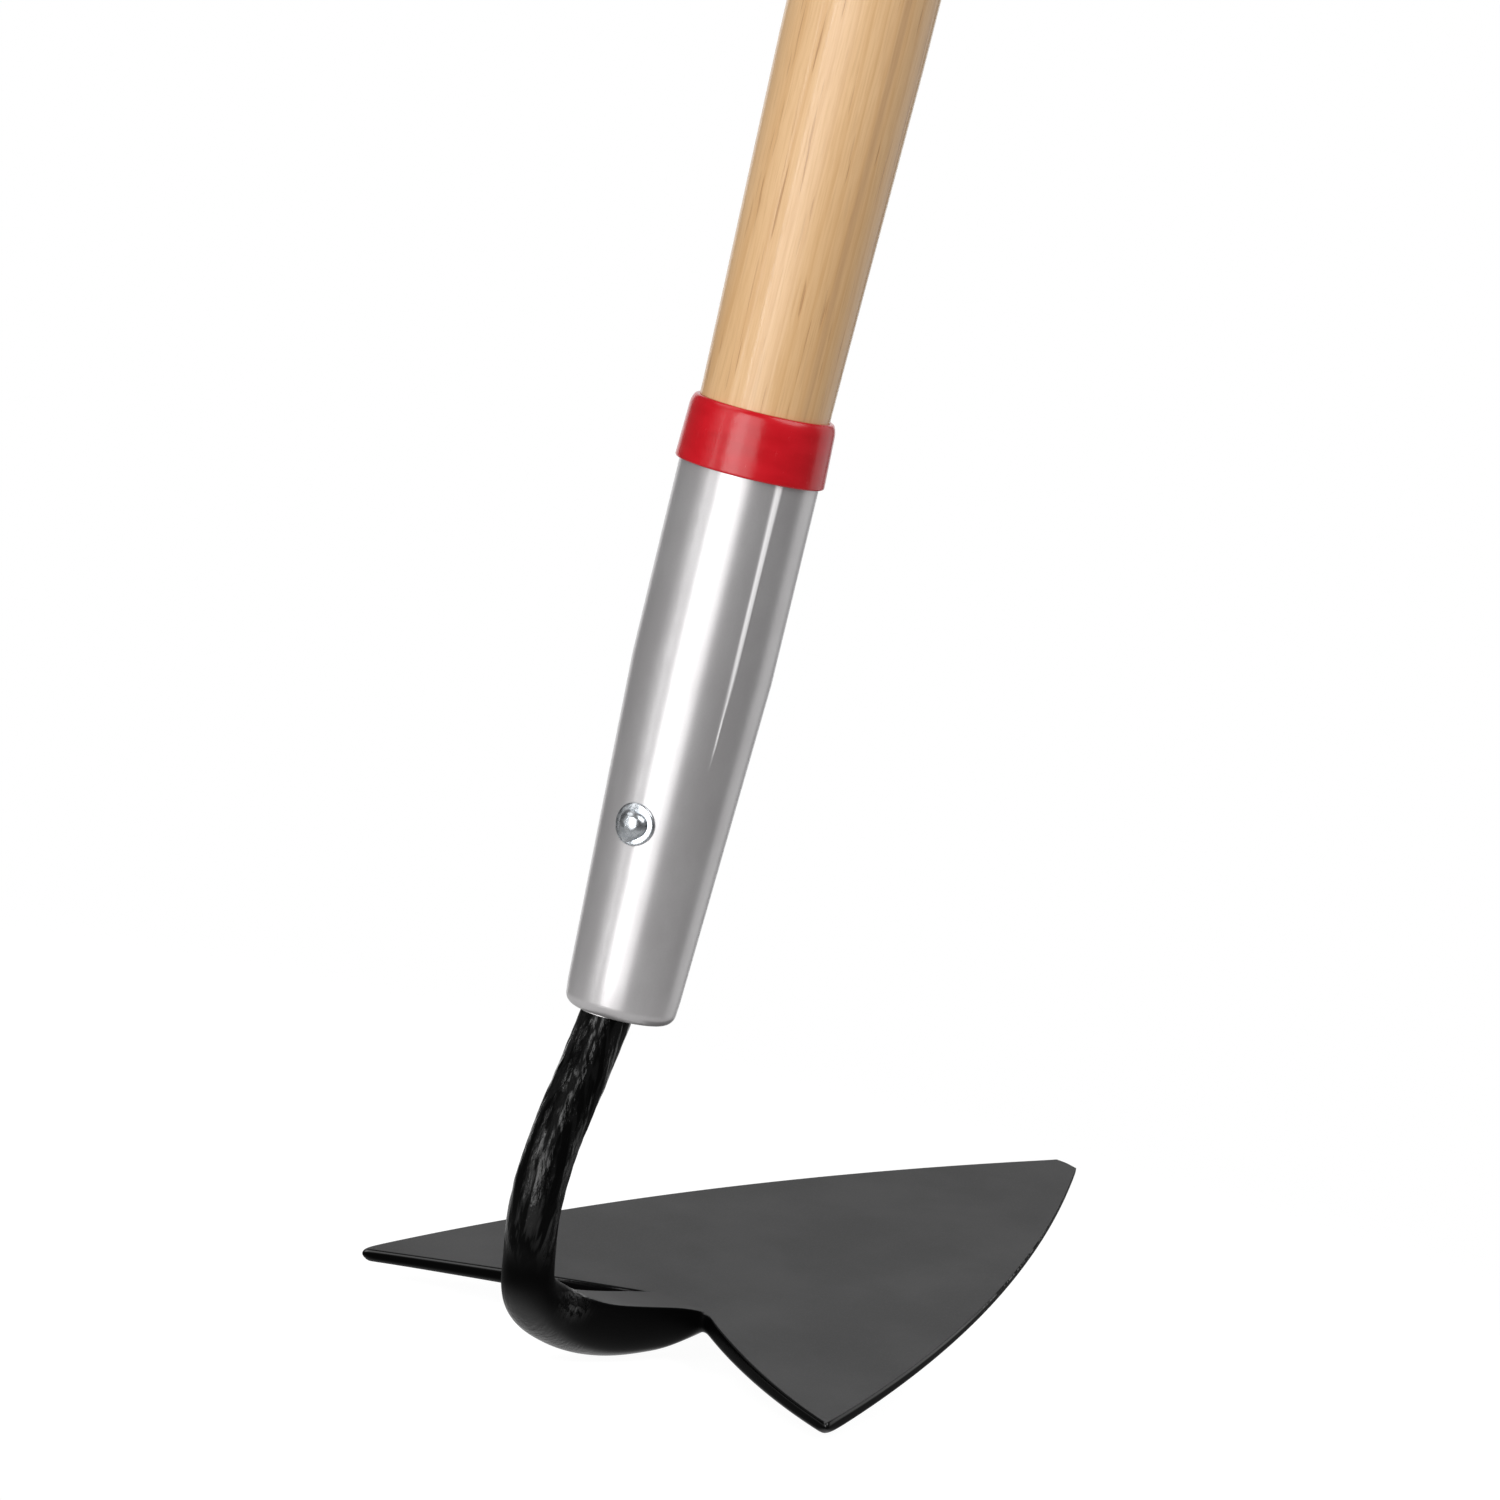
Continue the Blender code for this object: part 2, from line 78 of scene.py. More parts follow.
# Handle
HANDLE_NECK_RADIUS = 14.1 * MM      # where the wood leaves the collar
HANDLE_TAPER_TOP = 222 * MM
HANDLE_END_ROUND = 9 * MM
HANDLE_CHAMFER = 0.9 * MM           # at the foot of the wood, inside the ferrule
HANDLE_CHAMFER_TOP = 6 * MM
HANDLE_STEP = 1.2 * MM              # height of the step above the ferrule's mouth
HANDLE_GROWTH = (                   # share of the taper that is reached at each height
    (0.0, COLLAR_TOP + 2 * MM),
    (0.10, COLLAR_TOP + 12 * MM),
    (0.86, HANDLE_TAPER_TOP - 12 * MM),
    (0.97, HANDLE_TAPER_TOP + 8 * MM),
    (1.0, HANDLE_TAPER_TOP + 35 * MM),
)
BORE_MOUTH = 9.3 * MM
TANG_BORE = ((0.0, 96.0), (3.2, 95.6), (6.1, 58.0), (6.6, 28.0))    # radius and height, mm

# Ferrule
FERRULE_WALL = 1.2 * MM
FERRULE_FOOT_RADIUS = 12.0 * MM
FERRULE_TAPER_TOP = 76 * MM
FERRULE_FOOT_ROUND = 2.8 * MM
FERRULE_ROWS = 44
NECK_HOLE = 5.85 * MM               # radius
NECK_X = -4.3                       # mm, where the neck's centre passes the lower face
SEAM_TURN = radians(-119.5)         # direction of the rolled seam, round the handle
SEAM_BOTTOM, SEAM_TOP = 56 * MM, 118 * MM
SEAM_WIDTH = 1.9 * MM
SEAM_HEIGHT = 0.16 * MM
SEAM_NARROW = 0.25                  # share of the width that is left at the bottom
SEAM_FADE = 8 * MM                  # over this height the bead rises to its full height
SEAM_SLOPE = (0.45, 1.15)           # the bead falls off between these shares of half its width
SEAM_COLUMNS = 16                   # close columns of the mesh along the seam
SEAM_REACH = 1.6                    # they reach this many seam widths to either side

# Collar
COLLAR_DRAFT = 0.35 * MM            # the skirt slims by this much towards its shoulder
COLLAR_SHOULDER = 3.6 * MM          # height of the rounded shoulder
COLLAR_LIP = 0.5 * MM
COLLAR_EDGE_ROUND = 0.5 * MM

# Blade
BLADE_TILT = radians(11.8)
BLADE_REAR_X = 18.2 * MM
BLADE_REAR_Z = -71.4 * MM
BLADE_LENGTH = 181.6 * MM
BLADE_SIDE_RADIUS = 538 * MM
EAR_X, EAR_Y = -0.1 * MM, 63.9 * MM
POINT_X, POINT_Y = 181.0 * MM, 2.8 * MM
POINT_ROUND = 0.4 * MM
POINT_SKEW = 0.55 * MM              # the blunt point is worn more on its right
EAR_EASE = (1.0 * MM, 2.2 * MM)     # the ears are blunted by this much, above and below
EAR_NOSE = 0.4 * MM                 # and between the two they stand out by this much
NOTCH_X = 32.3 * MM
REAR_BOW_LEFT, REAR_BOW_RIGHT = -0.8 * MM, 3.2 * MM     # forging left the ears unlike
WEB_HALF_WIDTH = 6.9 * MM
WEB_DEPTH = 9.3 * MM
RIDGE_LENGTH = 40 * MM
THICK_AT_REAR = 5.4 * MM
THIN_FORWARD = 0.0168
THIN_OUTWARD = 0.036
EDGE_AT_EAR = 3.3 * MM
EDGE_AT_POINT = 1.0 * MM

# Blade mesh: lines that run forward, as fractions of the half-width, and rows across
BLADE_LINES = (0, 0.058, 0.106, 0.121, 0.19, 0.36, 0.59, 0.80, 0.925, 0.972, 1)
WEB_LINES = 3                       # the web grows out of the lines up to this one
BEVEL_LINE = 8                      # the bevel below starts at this one
BLADE_ROWS = (0, 0.014, 0.06, 0.15, 0.28, 0.43, 0.59, 0.75, 0.88, 0.965, 0.993, 1)
RING_SIDES = 4 * WEB_LINES + 4

# Bar: x and z of its centre, half-width, half-depth, how flat its top is and how keeled below
BAR_KEYS = (
    (42.0, -69.4, 6.2, 5.3, 1.0, 1.0),      # web behind the notch
    (27.0, -69.9, 5.8, 6.2, 1.0, 1.0),
    (13.0, -69.1, 5.8, 6.3, 1.0, 0.8),      # the web rounds off into the bar
    (1.5, -66.2, 5.8, 6.5, 0.8, 0.3),
    (-8.1, -61.8, 5.8, 6.6, 0.0, 0.0),      # the bend
    (-11.2, -54.0, 5.7, 5.7, 0.0, 0.0),
    (-13.8, -42.0, 5.7, 5.7, 0.0, 0.0),
    (-12.4, -28.0, 5.7, 5.7, 0.0, 0.0),
    (-7.9, -13.0, 5.7, 5.7, 0.0, 0.0),
    (NECK_X, 0.0, 5.7, 5.7, 0.0, 0.0),      # the neck passes the ferrule's lower face
    (-1.0, 13.0, 5.6, 5.6, 0.0, 0.0),
    (0.0, 28.0, 5.4, 5.4, 0.0, 0.0),        # the tang
    (0.0, 58.0, 4.9, 4.9, 0.0, 0.0),
    (0.0, 84.0, 3.6, 3.6, 0.0, 0.0),
    (0.0, 95.0, 2.2, 2.2, 0.0, 0.0),
)
FLAT_SPREAD = (1.0, 0.87, 0.46)     # across the flat top, from a corner towards the middle
KEEL_DEPTH = (0.58, 0.80, 0.97)     # depth below, from a side towards the middle
KEEL_WIDTH = 0.93                   # the underside is narrower than the top by this factor
SIDE_HEIGHT = 0.1                   # of the widest point, above the centre
HEAD_SMOOTHING = 3
WEB_CREASE = 0.8                    # how crisp the corners of the web's flat top are

# Forging marks, in mm
BAR_FRONT = 10                      # neck and bend lie behind this x, web and blade in front
NECK_FOOT, NECK_WAVY = -60, -46     # the neck starts here, and its waves are full here
BEND_X, BEND_Z = 2, -62.5           # the hollow of the bend
BEND_REACH_X, BEND_REACH_Z = 4.5, 2.8
WAVE_HEIGHT = 0.16
RIPPLE_HEIGHT = 0.13
FOLD_HEIGHT = 0.45

# Enamel
BLADE_DULL_SHEEN = 0.74                   # how strong the painted sheen of grey and the dullness are on the blade, against 1 on the web
UNDERSIDE_DULL = 0.22               # and below
NECK_GLOSS = (-57 * MM, -45 * MM)   # it turns glossy between these heights
BAR_GREY = (-61 * MM, -58 * MM)     # the painted sheen on the bar's top shows only below these heights
WEB_GREY = (12 * MM, 44 * MM)       # the web's lighter painted sheen, where its top lies level, fades out between these x
BLADE_EDGE = (10 * MM, 14 * MM)     # the rounded edges shine from here outwards
WRINKLES_END = (9 * MM, 16 * MM)    # the wrinkles fade out between these x
STREAKS_END = (-58 * MM, -50 * MM)  # and the neck's dull streaks between these heights

# Rivet
RIVET_HEIGHT = 42 * MM
RIVET_TURN = radians(187.5)
RIVET_RADIUS = 2.38 * MM
RIVET_DOME_RADIUS = 3.2 * MM
RIVET_DOME_HEIGHT = 2.3 * MM
RIVET_HEAD_RADIUS = 4.7 * MM
RIVET_HEAD_HEIGHT = 2.0 * MM
BURR_RADIUS = 4.6 * MM
BURR_THICKNESS = 1.0 * MM
BURR_EDGE_ROUND = 0.4 * MM

# Camera: it looks down a little on the blade from behind its right ear, with the tool leaning
CAMERA_BEARING = 0.99038            # radians, of the line of sight from +Y towards +X
CAMERA_DIP = 0.12348
CAMERA_ROLL = 0.23836
CAMERA_DISTANCE = 2.0
CAMERA_ASIDE, CAMERA_ABOVE = 27.95 * MM, 56.06 * MM
CAMERA_LENS = 226.08                # mm
CAMERA_SENSOR = 36                  # mm

# Tall softboxes: bearing in degrees, distance and width in metres, and radiance
SOFTBOX_LOW, SOFTBOX_HIGH = -0.7, 1.7
SOFTBOXES = {
    "key_wide": (-17, 2.3, 1.6, 2.5),
    "key_left": (-28, 2.2, 0.7, 2.0),
    "strip": (-40, 2.3, 0.12, 9.0),
    "strip_far": (-60, 2.3, 0.08, 6.0),
    "feather": (-62, 2.3, 1.3, 0.45),
    "rim": (128, 2.3, 1.7, 0.65),
    "back": (185, 2.6, 2.4, 1.0),
}

# Round lights above: bearing and climb in degrees, distance and size in metres, and radiance
HIGH_LIGHTS = {
    "high_right": (60, 52, 2.4, 1.8, 3.0),
    "high_left": (-80, 55, 2.4, 1.6, 1.5),
}

# White surroundings: how bright the camera sees them, and how bright they light the tool
WORLD_SEEN, WORLD_LIT = 1.0, 0.12
FLOOR_SEEN, FLOOR_LIT = 0.95, 0.40
FLOOR_RADIUS = 0.44
FLOOR_FADE = (0.16, 0.42)
FLOOR_X = 0.08
FLOOR_GAP = 1 * MM


# Mesh helpers

def new_piece(name, bm, mat, node_names):
    """Turn a bmesh into a piece that rides on the root body and replaces CAD nodes."""
    bmesh.ops.recalc_face_normals(bm, faces=bm.faces)
    mesh = bpy.data.meshes.new(name)
    bm.to_mesh(mesh)
    bm.free()
    mesh.materials.append(mat)
    piece = bpy.data.objects.new(name, mesh)
    piece.location = FOOT
    bpy.context.scene.collection.objects.link(piece)
    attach(piece, "root")
    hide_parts(*node_names)
    return piece


def shade(mesh, sharp_angle=radians(40)):
    """Smooth shading that keeps the edges sharper than an angle."""
    mesh.shade_smooth()
    mesh.set_sharp_from_angle(angle=sharp_angle)


def bridge(bm, ring_a, ring_b):
    """A band of faces between two rings with as many vertices."""
    for i, vert in enumerate(ring_a):
        j = (i + 1) % len(ring_a)
        bm.faces.new((vert, ring_a[j], ring_b[j], ring_b[i]))


def fan(bm, ring, centre):
    """Close a ring with triangles that meet in a new vertex."""
    tip = bm.verts.new(centre)
    for i, vert in enumerate(ring):
        bm.faces.new((vert, ring[(i + 1) % len(ring)], tip))


def circle(bm, radius, height, turns, centre_x=0.0):
    return [bm.verts.new((centre_x + radius * cos(a), radius * sin(a), height)) for a in turns]


def even_turns(sides=SIDES):
    return [2 * pi * i / sides for i in range(sides)]


def arc(centre, radius, start, stop, steps):
    """Points on an arc in the (radius, height) plane; angles from the +radius axis."""
    turns = [start + (stop - start) * i / steps for i in range(steps + 1)]
    return [(centre[0] + radius * cos(a), centre[1] + radius * sin(a)) for a in turns]


def smoothstep(value, low, high):
    share = min(max((value - low) / (high - low), 0.0), 1.0)
    return share * share * (3 - 2 * share)


def turned(profile, closed):
    """A turned solid from (radius, height) points. A closed profile goes round a hollow."""
    bm = bmesh.new()
    turns = even_turns()
    inner = profile if closed else profile[1:-1]
    rings = [circle(bm, radius, height, turns) for radius, height in inner]
    for ring_a, ring_b in zip(rings, rings[1:]):
        bridge(bm, ring_a, ring_b)
    if closed:
        bridge(bm, rings[-1], rings[0])
    else:
        fan(bm, rings[0], (0, 0, profile[0][1]))
        fan(bm, rings[-1], (0, 0, profile[-1][1]))
    return bm


def ferrule_radius(height):
    """Outer radius of the ferrule: a straight taper that eases into a cylinder."""
    if height >= FERRULE_TAPER_TOP:
        return FERRULE_RADIUS
    grow = (FERRULE_RADIUS - FERRULE_FOOT_RADIUS) / FERRULE_TAPER_TOP
    return FERRULE_FOOT_RADIUS + grow * height


# Bar and blade

def spline_point(p0, p1, p2, p3, t):
    """Catmull-Rom curve through p1 and p2."""
    return (p1 * 2 + (p2 - p0) * t + (p0 * 2 - p1 * 5 + p2 * 4 - p3) * t * t
            + (p1 * 3 - p0 - p2 * 3 + p3) * t ** 3) * 0.5


def bar_stations():
    """The bar's keys with one station between each pair, all six values splined."""
    keys = [tuple(v * MM for v in key[:4]) + key[4:] for key in BAR_KEYS]
    stations = []
    for i in range(len(keys) - 1):
        around = [keys[max(i - 1, 0)], keys[i], keys[i + 1], keys[min(i + 2, len(keys) - 1)]]
        stations.append(keys[i])
        stations.append(tuple(spline_point(*column, 0.5) for column in zip(*around)))
    stations.append(keys[-1])
    return stations


def ring_outline(half_width, half_depth, flat, keeled):
    """Points round the bar: from the right of the top to its left, and back below.

    A round section is blended with one that has a flat top and a keel below.
    """
    points = []
    for i in range(RING_SIDES):
        turn = pi - (i + 1) * 2 * pi / RING_SIDES
        y, h = cos(turn), sin(turn)
        side = -1 if y < 0 else 1
        if i <= 2 * WEB_LINES:
            rank = min(i, 2 * WEB_LINES - i)
            flat_y = side * FLAT_SPREAD[rank] if rank < WEB_LINES else 0.0
            flat_h = 1.0
        elif i in (2 * WEB_LINES + 1, RING_SIDES - 1):
            flat_y, flat_h = side * 1.0, SIDE_HEIGHT
        else:
            rank = min(i - 2 * WEB_LINES - 2, RING_SIDES - 2 - i)
            flat_y = side * FLAT_SPREAD[rank] * KEEL_WIDTH if rank < WEB_LINES else 0.0
            flat_h = -KEEL_DEPTH[rank] if rank < WEB_LINES else -1.0
        share = flat if i <= 2 * WEB_LINES else keeled
        points.append(((y + (flat_y - y) * share) * half_width,
                       (h + (flat_h - h) * share) * half_depth))
    return points


def bar_rings(bm, stations):
    """One ring of vertices for each station, square to the bar's own direction."""
    rings = []
    for i, (x, z, half_width, half_depth, flat, keeled) in enumerate(stations):
        before = stations[max(i - 1, 0)]
        after = stations[min(i + 1, len(stations) - 1)]
        run, rise = after[0] - before[0], after[1] - before[1]
        length = hypot(run, rise)
        up = Vector((rise / length, 0, -run / length))
        outline = ring_outline(half_width, half_depth, flat, keeled)
        rings.append([bm.verts.new(Vector((x, y, z)) + up * h) for y, h in outline])
    return rings


def blade_place(x, y, height=0.0):
    """A point given along, across and above the blade's flat upper face."""
    return Vector((BLADE_REAR_X + x * cos(BLADE_TILT) - height * sin(BLADE_TILT), y,
                   BLADE_REAR_Z + x * sin(BLADE_TILT) + height * cos(BLADE_TILT)))


def side_centre():
    """Centre of the left side's arc, which runs from the ear's corner to the point."""
    chord_x, chord_y = POINT_X - EAR_X, POINT_Y - EAR_Y
    chord = hypot(chord_x, chord_y)
    away = sqrt(BLADE_SIDE_RADIUS ** 2 - chord ** 2 / 4)
    return ((EAR_X + POINT_X) / 2 + away * chord_y / chord,
            (EAR_Y + POINT_Y) / 2 - away * chord_x / chord)


def half_width_at(x):
    """Half the blade's width at a distance along it."""
    centre_x, centre_y = side_centre()
    return centre_y + sqrt(BLADE_SIDE_RADIUS ** 2 - (x - centre_x) ** 2)


def rear_edge_x(y, bow):
    """The rear edge runs from the notch's corner to the ear's, bowed backwards."""
    share = max((y - WEB_HALF_WIDTH) / (EAR_Y - WEB_HALF_WIDTH), 0.0)
    return NOTCH_X + (EAR_X - NOTCH_X) * share - 4 * bow * share * (1 - share)


def blade_xy(line, row, ease=0.0):
    """Where a line and a row of the blade's mesh cross; negative lines are on the right."""
    across = BLADE_LINES[abs(line)]
    start = NOTCH_X
    if abs(line) > WEB_LINES:
        bow = REAR_BOW_LEFT if line > 0 else REAR_BOW_RIGHT
        # The rear edge depends on the half-width where it starts, so it is found in a few steps.
        for _ in range(4):
            start = rear_edge_x(across * half_width_at(start), bow)
    side = 1 if line > 0 else -1
    end = POINT_X + POINT_ROUND * (1 - across ** 2) + POINT_SKEW * side * across
    x = start + (end - start) * BLADE_ROWS[row]
    y = across * half_width_at(min(x, POINT_X))
    if across == 1 and row == 0:
        x, y = x + ease, y - ease
    return x, side * y


def blade_depth(line, row):
    """How far the underside lies below the upper face at a line and a row."""
    x, y = blade_xy(line, row)
    outer = len(BLADE_LINES) - 1
    thick = THICK_AT_REAR - THIN_FORWARD * x - THIN_OUTWARD * abs(y)
    if abs(line) > BEVEL_LINE:
        span = BLADE_LINES[outer] - BLADE_LINES[BEVEL_LINE]
        share = (BLADE_LINES[abs(line)] - BLADE_LINES[BEVEL_LINE]) / span
        edge = EDGE_AT_EAR + (EDGE_AT_POINT - EDGE_AT_EAR) * max(x, 0) / BLADE_LENGTH
        thick += (edge - thick) * share
    if abs(line) <= WEB_LINES:
        fade = max(1 - (x - NOTCH_X) / RIDGE_LENGTH, 0.0)
        arch = 1 - (BLADE_LINES[abs(line)] / BLADE_LINES[WEB_LINES]) ** 2
        thick += (WEB_DEPTH - THICK_AT_REAR) * fade ** 1.5 * arch
    return thick


def blade_and_web_ring(bm):
    """The blade's faces, open at the notch. Returns the ring that the web grows from."""
    outer, last = len(BLADE_LINES) - 1, len(BLADE_ROWS) - 1
    lines = range(-outer, outer + 1)
    top, bottom = {}, {}
    for line in lines:
        for row in range(last + 1):
            top[line, row] = bm.verts.new(blade_place(*blade_xy(line, row, EAR_EASE[0])))
            below = blade_xy(line, row, EAR_EASE[1])
            bottom[line, row] = bm.verts.new(blade_place(*below, -blade_depth(line, row)))
    for sheet in (top, bottom):
        for line in range(-outer, outer):
            for row in range(last):
                bm.faces.new((sheet[line, row], sheet[line + 1, row],
                              sheet[line + 1, row + 1], sheet[line, row + 1]))

    rim = [(line, 0) for line in range(WEB_LINES, outer)]
    rim += [(outer, row) for row in range(last)]
    rim += [(line, last) for line in range(outer, -outer, -1)]
    rim += [(-outer, row) for row in range(last, 0, -1)]
    rim += [(line, 0) for line in range(-outer, -WEB_LINES + 1)]
    middle = {spot: bm.verts.new((top[spot].co + bottom[spot].co) / 2) for spot in rim}
    # Half-way down its thickness each ear comes out to a nose.
    for line in (outer, -outer):
        nose = blade_xy(line, 0, -EAR_NOSE)
        middle[line, 0].co = blade_place(*nose, -0.5 * blade_depth(line, 0))
    for a, b in zip(rim, rim[1:]):
        bm.faces.new((top[a], top[b], middle[b], middle[a]))
        bm.faces.new((middle[a], middle[b], bottom[b], bottom[a]))

    web = range(-WEB_LINES, WEB_LINES + 1)
    ring = [top[line, 0] for line in web] + [middle[WEB_LINES, 0]]
    return ring + [bottom[line, 0] for line in reversed(web)] + [middle[-WEB_LINES, 0]]


def near_bend(point):
    """1 in the hollow of the bend, falling to 0 some millimetres away."""
    away_x = (point.x / MM - BEND_X) / BEND_REACH_X
    away_z = (point.z / MM - BEND_Z) / BEND_REACH_Z
    return exp(-away_x ** 2 - away_z ** 2)


def forge(mesh):
    """Hammer waves down the neck and creases inside the bend, moved along the normals."""
    normals = [v.normal.copy() for v in mesh.vertices]
    for vert, normal in zip(mesh.vertices, normals):
        x, y, z = vert.co / MM
        on_neck = smoothstep(z, NECK_FOOT, NECK_WAVY) * (1 if z < 4 and x < BAR_FRONT else 0)
        if on_neck:
            on_neck *= 1 - smoothstep(z, -4, 0)
            waves = noise.noise(Vector((x / 2.6, y / 2.6, z / 6.0)))
            ripple = noise.noise(Vector((x / 0.9 + 9, y / 0.9, z / 2.8)))
            rise = WAVE_HEIGHT * waves + RIPPLE_HEIGHT * ripple
            vert.co += normal * on_neck * rise * MM
        creased = near_bend(vert.co)
        if creased > 0.02:
            folds = noise.noise(Vector(((x + z) / 0.9, y / 1.6, (x - z) / 3.0)))
            vert.co += normal * creased * FOLD_HEIGHT * folds * MM


def mark_enamel(mesh):
    """Attributes for the enamel: dull on faces that look up, carrying a painted sheen of grey there
    that is lighter on the web's level top, and a fainter grey on faces that look down; glossy on
    the neck, the rounded edges, the creases and the underside of the bend."""
    face_up = Vector((-sin(BLADE_TILT), 0, cos(BLADE_TILT)))
    dull_and_sheen = mesh.attributes.new("dull_and_sheen", "FLOAT", "POINT")
    gloss = mesh.attributes.new("gloss", "FLOAT", "POINT")
    for vert in mesh.vertices:
        x, y, z = vert.co
        on_bar = x < BAR_FRONT * MM
        low = 1 - smoothstep(z, *BAR_GREY) if on_bar else 1
        facing = vert.normal.dot(face_up)
        # Faces that look down get a fainter grey.
        underside_grey = UNDERSIDE_DULL * (1 - smoothstep(facing, -0.45, 0.0))
        on_web = smoothstep(vert.normal.z, 0.985, 0.997) * (1 - smoothstep(x, *WEB_GREY))
        # Painted sheen: faces that look up get grey, lighter where the web's top lies level.
        top_sheen = low * smoothstep(facing, 0.80, 0.93) * (BLADE_DULL_SHEEN + (1 - BLADE_DULL_SHEEN) * on_web)
        dull_and_sheen.data[vert.index].value = max(top_sheen, underside_grey)
        glossy = smoothstep(z, *NECK_GLOSS) if on_bar else 0
        edge = smoothstep(facing, 0.1, 0.4) * (1 - smoothstep(facing, 0.86, 0.96))
        edge *= smoothstep(abs(y), *BLADE_EDGE)
        under = 1 - smoothstep(vert.normal.z, -0.75, -0.25)
        if not (on_bar and z > NECK_FOOT * MM):
            glossy = max(glossy, edge, under, near_bend(vert.co))
        gloss.data[vert.index].value = glossy


def build_head(mat):
    """The forging: blade, web, neck and tang as one smooth skin."""
    bm = bmesh.new()
    stations = bar_stations()
    rings = [blade_and_web_ring(bm)] + bar_rings(bm, stations)
    crease = bm.edges.layers.float.new("crease_edge")
    for ring_a, ring_b, station in zip(rings, rings[1:], stations):
        bridge(bm, ring_a, ring_b)
        for corner in (0, 2 * WEB_LINES):
            bm.edges.get((ring_a[corner], ring_b[corner]))[crease] = WEB_CREASE * station[4]
    bm.faces.new(rings[-1])
    head = new_piece("head", bm, mat, ["hoe_head"])
    smooth = head.modifiers.new("smooth", "SUBSURF")
    smooth.levels = smooth.render_levels = HEAD_SMOOTHING
    graph = bpy.context.evaluated_depsgraph_get()
    head.data = bpy.data.meshes.new_from_object(head.evaluated_get(graph))
    head.modifiers.clear()
    forge(head.data)
    head.data.shade_smooth()
    mark_enamel(head.data)
    return head


# Turned pieces

def build_handle(mat):
    """Wood: tang bore, foot inside the ferrule, taper, straight shaft and rounded butt."""
    inside = FERRULE_WALL + HAIR
    taper = HANDLE_RADIUS - HANDLE_NECK_RADIUS
    bottom = HANDLE_BOTTOM
    profile = [(radius * MM, height * MM) for radius, height in TANG_BORE]
    profile += [
        (BORE_MOUTH, bottom),
        (ferrule_radius(bottom) - inside - HANDLE_CHAMFER, bottom),
        (ferrule_radius(HANDLE_CHAMFER_TOP) - inside, HANDLE_CHAMFER_TOP),
        (FERRULE_RADIUS - inside, FERRULE_TAPER_TOP),
        (FERRULE_RADIUS - inside, FERRULE_LENGTH + HAIR),
        (HANDLE_NECK_RADIUS, FERRULE_LENGTH + HANDLE_STEP),
    ]
    profile += [(HANDLE_NECK_RADIUS + share * taper, height) for share, height in HANDLE_GROWTH]
    butt = (HANDLE_RADIUS - HANDLE_END_ROUND, HANDLE_TOP - HANDLE_END_ROUND)
    profile += arc(butt, HANDLE_END_ROUND, 0, pi / 2, 14)
    profile.append((0, HANDLE_TOP))
    piece = new_piece("handle_wood_part", turned(profile, False), mat, ["handle"])
    shade(piece.data)
    return piece


def ferrule_turns():
    """Directions round the ferrule: even, with a close set of columns along the seam."""
    half = SEAM_REACH * SEAM_WIDTH / FERRULE_RADIUS
    dense = [SEAM_TURN - half + 2 * half * i / SEAM_COLUMNS for i in range(SEAM_COLUMNS + 1)]
    even = [SEAM_TURN + half + (2 * pi - 2 * half) * i / SIDES for i in range(1, SIDES)]
    return dense + even


def seam_rise(turn, height):
    """Height of the seam's bead: it narrows downwards to a needle point."""
    if height <= SEAM_BOTTOM:
        return 0.0
    climb = (height - SEAM_BOTTOM) / (SEAM_TOP - SEAM_BOTTOM)
    width = SEAM_WIDTH * (SEAM_NARROW + (1 - SEAM_NARROW) * climb)
    fade = smoothstep(height, SEAM_BOTTOM, SEAM_BOTTOM + SEAM_FADE)
    away = abs((turn - SEAM_TURN + pi) % (2 * pi) - pi) * FERRULE_RADIUS / (width / 2)
    return SEAM_HEIGHT * fade * (1 - smoothstep(away, *SEAM_SLOPE))


def build_ferrule(mat):
    """Steel socket: rounded foot with the neck's hole, taper, seam, mouth and hollow."""
    bm = bmesh.new()
    turns = ferrule_turns()
    floor = FERRULE_WALL
    inner_round = FERRULE_FOOT_ROUND - FERRULE_WALL
    foot = (FERRULE_FOOT_RADIUS - FERRULE_FOOT_ROUND, FERRULE_FOOT_ROUND)
    outer = arc(foot, FERRULE_FOOT_ROUND, -pi / 2, 0, 10)
    start = outer[-1][1]
    for i in range(1, FERRULE_ROWS + 1):
        height = start + (FERRULE_LENGTH - start) * i / FERRULE_ROWS
        outer.append((ferrule_radius(height), height))
    inner = [(FERRULE_RADIUS - FERRULE_WALL, FERRULE_LENGTH),
             (FERRULE_RADIUS - FERRULE_WALL, FERRULE_TAPER_TOP)]
    inner += arc((foot[0], floor + inner_round), inner_round, 0, -pi / 2, 4)
    rings = [circle(bm, NECK_HOLE, 0, turns, NECK_X * MM)]
    for radius, height in outer:
        reach = [radius + seam_rise(a, height) for a in turns]
        rings.append([bm.verts.new((r * cos(a), r * sin(a), height)) for r, a in zip(reach, turns)])
    rings += [circle(bm, radius, height, turns) for radius, height in inner]
    rings.append(circle(bm, NECK_HOLE, floor, turns, NECK_X * MM))
    for ring_a, ring_b in zip(rings, rings[1:] + rings[:1]):
        bridge(bm, ring_a, ring_b)
    piece = new_piece("ferrule_shell", bm, mat, ["ferrule"])
    shade(piece.data)
    return piece


